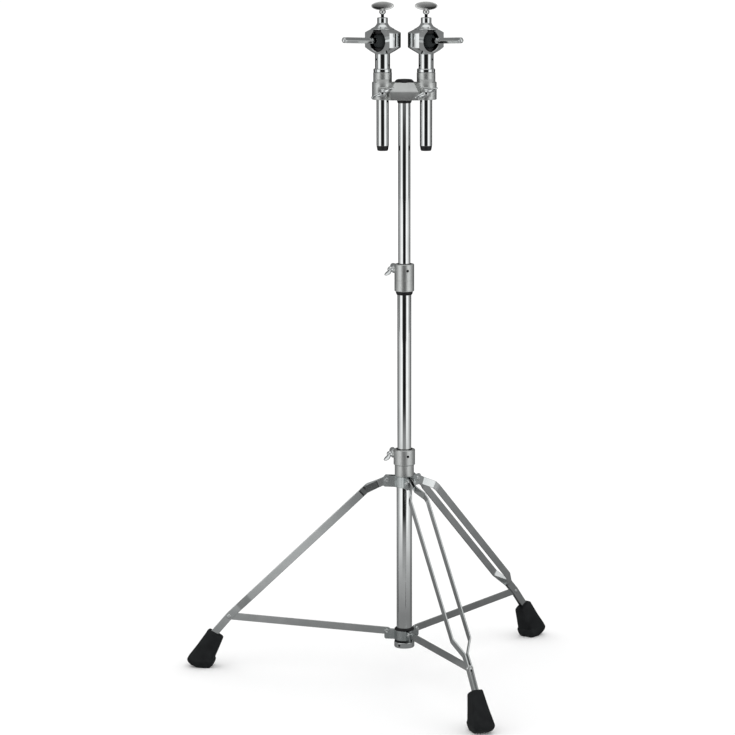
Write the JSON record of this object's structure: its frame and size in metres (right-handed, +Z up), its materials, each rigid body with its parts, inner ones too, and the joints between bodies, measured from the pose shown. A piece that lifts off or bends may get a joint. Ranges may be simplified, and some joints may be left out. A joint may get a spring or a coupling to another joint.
{
  "type": "double-braced tripod stand",
  "caption": "Chrome double-braced tripod drum stand with a three-tube telescopic post and a twin bracket that carries two ball-clamp arms with hexagonal rods.",
  "frame": {"origin": "on the floor, under the axis of the post", "axes": "+Z up along the post; -Y towards the front, where the twin bracket and its wing bolts face; the two arms lie side by side along X"},
  "size_m": [0.6875, 0.7203, 1.2414],
  "materials": {
    "chrome": "polished chrome plate",
    "satin_cast": "satin nickel-plated casting",
    "satin_steel": "plated pressed steel",
    "black_nylon": "black nylon",
    "black_steel": "black-oxide steel",
    "rubber": "moulded black rubber"
  },
  "bodies": {
    "base": {"base_tube": "chrome", "base_clamp": "satin_cast", "base_clamp_bush": "black_nylon", "base_key_screws": "black_steel", "leg_collar": "satin_steel", "collar_pins": "chrome", "collar_spacers": "black_nylon", "end_ring": "chrome"},
    "base_wing": {"base_wing_bolt": "chrome"},
    "spreader": {"spreader_bracket": "satin_steel", "spreader_liner": "black_nylon", "spreader_pins": "chrome"},
    "mid": {"mid_tube": "chrome", "mid_clamp": "satin_cast", "mid_clamp_bush": "black_nylon", "mid_key_screw": "black_steel"},
    "mid_wing": {"mid_wing_bolt": "chrome"},
    "top": {"top_tube": "chrome"},
    "bracket": {"twin_bracket": "satin_cast", "bracket_cap": "black_nylon", "bracket_bush": "black_nylon"},
    "front_leg": {"front_leg_straps": "chrome", "front_leg_rivets": "chrome", "front_foot": "rubber"},
    "right_leg": {"right_leg_straps": "chrome", "right_leg_rivets": "chrome", "right_foot": "rubber"},
    "left_leg": {"left_leg_straps": "chrome", "left_leg_rivets": "chrome", "left_foot": "rubber"},
    "front_stay": {"front_stay": "chrome"},
    "right_stay": {"right_stay": "chrome"},
    "left_stay": {"left_stay": "chrome"},
    "left_arm_wing": {"left_arm_wing_bolt": "chrome"},
    "left_lock": {"left_lock_sleeve": "satin_cast"},
    "left_arm": {"left_arm_tube": "chrome", "left_arm_cap": "black_nylon", "left_neck": "chrome", "left_roll_pins": "black_steel", "left_housing": "chrome", "left_dome": "chrome"},
    "left_seats": {"left_ball_seats": "black_nylon"},
    "left_ball_part": {"left_ball": "black_nylon"},
    "left_rod_part": {"left_rod": "chrome"},
    "left_head_wing": {"left_head_wing_bolt": "chrome"},
    "right_arm_wing": {"right_arm_wing_bolt": "chrome"},
    "right_lock": {"right_lock_sleeve": "satin_cast"},
    "right_arm": {"right_arm_tube": "chrome", "right_arm_cap": "black_nylon", "right_neck": "chrome", "right_roll_pins": "black_steel", "right_housing": "chrome", "right_dome": "chrome"},
    "right_seats": {"right_ball_seats": "black_nylon"},
    "right_ball_part": {"right_ball": "black_nylon"},
    "right_rod_part": {"right_rod": "chrome"},
    "right_head_wing": {"right_head_wing_bolt": "chrome"}
  },
  "joints": [
    {"name": "base_wing_turn", "type": "hinge", "parent": "base", "child": "base_wing", "pos_m": [-0.0249, 0.00906, 0.4168], "axis": [-0.9397, 0.342, 0], "continuous": true},
    {"name": "mid_slide", "type": "slide", "parent": "base", "child": "mid", "axis": [0, 0, 1], "range_m": [-0.28, 0.035]},
    {"name": "mid_wing_turn", "type": "hinge", "parent": "mid", "child": "mid_wing", "pos_m": [-0.0249, 0.00906, 0.7583], "axis": [-0.9397, 0.342, 0], "continuous": true},
    {"name": "top_slide", "type": "slide", "parent": "mid", "child": "top", "axis": [0, 0, 1], "range_m": [-0.19, 0.04]},
    {"name": "bracket_swivel", "type": "hinge", "parent": "top", "child": "bracket", "pos_m": [0, 0, 1.08], "axis": [0, 0, 1], "continuous": true},
    {"name": "front_leg_fold", "type": "hinge", "parent": "base", "child": "front_leg", "pos_m": [0.0106, -0.02913, 0.37], "axis": [0.9397, 0.342, 0], "range_deg": [0, 44]},
    {"name": "right_leg_fold", "type": "hinge", "parent": "base", "child": "right_leg", "pos_m": [0.01993, 0.02375, 0.37], "axis": [-0.766, 0.6428, 0], "range_deg": [0, 44]},
    {"name": "left_leg_fold", "type": "hinge", "parent": "base", "child": "left_leg", "pos_m": [-0.03053, 0.00538, 0.37], "axis": [-0.1736, -0.9848, 0], "range_deg": [0, 44]},
    {"name": "spreader_slide", "type": "slide", "parent": "base", "child": "spreader", "axis": [0, 0, 1], "range_m": [0, 0.1804]},
    {"name": "front_stay_fold", "type": "hinge", "parent": "spreader", "child": "front_stay", "pos_m": [0.01101, -0.03026, 0.0845], "axis": [0.9397, 0.342, 0], "range_deg": [0, 87.61]},
    {"name": "right_stay_fold", "type": "hinge", "parent": "spreader", "child": "right_stay", "pos_m": [0.0207, 0.02467, 0.0845], "axis": [-0.766, 0.6428, 0], "range_deg": [0, 87.61]},
    {"name": "left_stay_fold", "type": "hinge", "parent": "spreader", "child": "left_stay", "pos_m": [-0.03171, 0.00559, 0.0845], "axis": [-0.1736, -0.9848, 0], "range_deg": [0, 87.61]},
    {"name": "left_arm_wing_turn", "type": "hinge", "parent": "bracket", "child": "left_arm_wing", "pos_m": [-0.039, -0.034, 1.081], "axis": [0, -1, 0], "continuous": true},
    {"name": "left_arm_height", "type": "slide", "parent": "bracket", "child": "left_lock", "axis": [0, 0, 1], "range_m": [0, 0.075]},
    {"name": "left_arm_swivel", "type": "hinge", "parent": "left_lock", "child": "left_arm", "pos_m": [-0.039, 0, 1.1], "axis": [0, 0, 1], "range_deg": [-130, 50]},
    {"name": "left_head_wing_turn", "type": "hinge", "parent": "left_arm", "child": "left_head_wing", "pos_m": [-0.039, 0, 1.22], "axis": [0, 0, 1], "continuous": true},
    {"name": "left_ball_yaw", "type": "hinge", "parent": "left_arm", "child": "left_seats", "pos_m": [-0.039, 0, 1.1715], "axis": [0, 0, 1], "range_deg": [-5, 43]},
    {"name": "left_ball_tilt", "type": "hinge", "parent": "left_seats", "child": "left_ball_part", "pos_m": [-0.039, 0, 1.1715], "axis": [0.6428, -0.766, 0], "range_deg": [-14, 14]},
    {"name": "left_rod_slide", "type": "slide", "parent": "left_ball_part", "child": "left_rod_part", "axis": [-0.7652, -0.6421, 0.0471], "range_m": [-0.008, 0.015]},
    {"name": "right_arm_wing_turn", "type": "hinge", "parent": "bracket", "child": "right_arm_wing", "pos_m": [0.039, -0.034, 1.081], "axis": [0, -1, 0], "continuous": true},
    {"name": "right_arm_height", "type": "slide", "parent": "bracket", "child": "right_lock", "axis": [0, 0, 1], "range_m": [0, 0.075]},
    {"name": "right_arm_swivel", "type": "hinge", "parent": "right_lock", "child": "right_arm", "pos_m": [0.039, 0, 1.1], "axis": [0, 0, 1], "range_deg": [-50, 130]},
    {"name": "right_head_wing_turn", "type": "hinge", "parent": "right_arm", "child": "right_head_wing", "pos_m": [0.039, 0, 1.22], "axis": [0, 0, 1], "continuous": true},
    {"name": "right_ball_yaw", "type": "hinge", "parent": "right_arm", "child": "right_seats", "pos_m": [0.039, 0, 1.1715], "axis": [0, 0, 1], "range_deg": [-37, 11]},
    {"name": "right_ball_tilt", "type": "hinge", "parent": "right_seats", "child": "right_ball_part", "pos_m": [0.039, 0, 1.1715], "axis": [0.7193, 0.6947, 0], "range_deg": [-14, 14]},
    {"name": "right_rod_slide", "type": "slide", "parent": "right_ball_part", "child": "right_rod_part", "axis": [0.6939, -0.7185, 0.0471], "range_m": [-0.008, 0.015]}
  ],
  "couplings": [
    {"joint": "right_leg_fold", "follows": "front_leg_fold", "ratio": 1},
    {"joint": "left_leg_fold", "follows": "front_leg_fold", "ratio": 1},
    {"joint": "spreader_slide", "follows": "front_leg_fold", "m_per_rad": 0.23491},
    {"joint": "front_stay_fold", "follows": "front_leg_fold", "ratio": 1.9908},
    {"joint": "right_stay_fold", "follows": "front_leg_fold", "ratio": 1.9908},
    {"joint": "left_stay_fold", "follows": "front_leg_fold", "ratio": 1.9908}
  ]
}
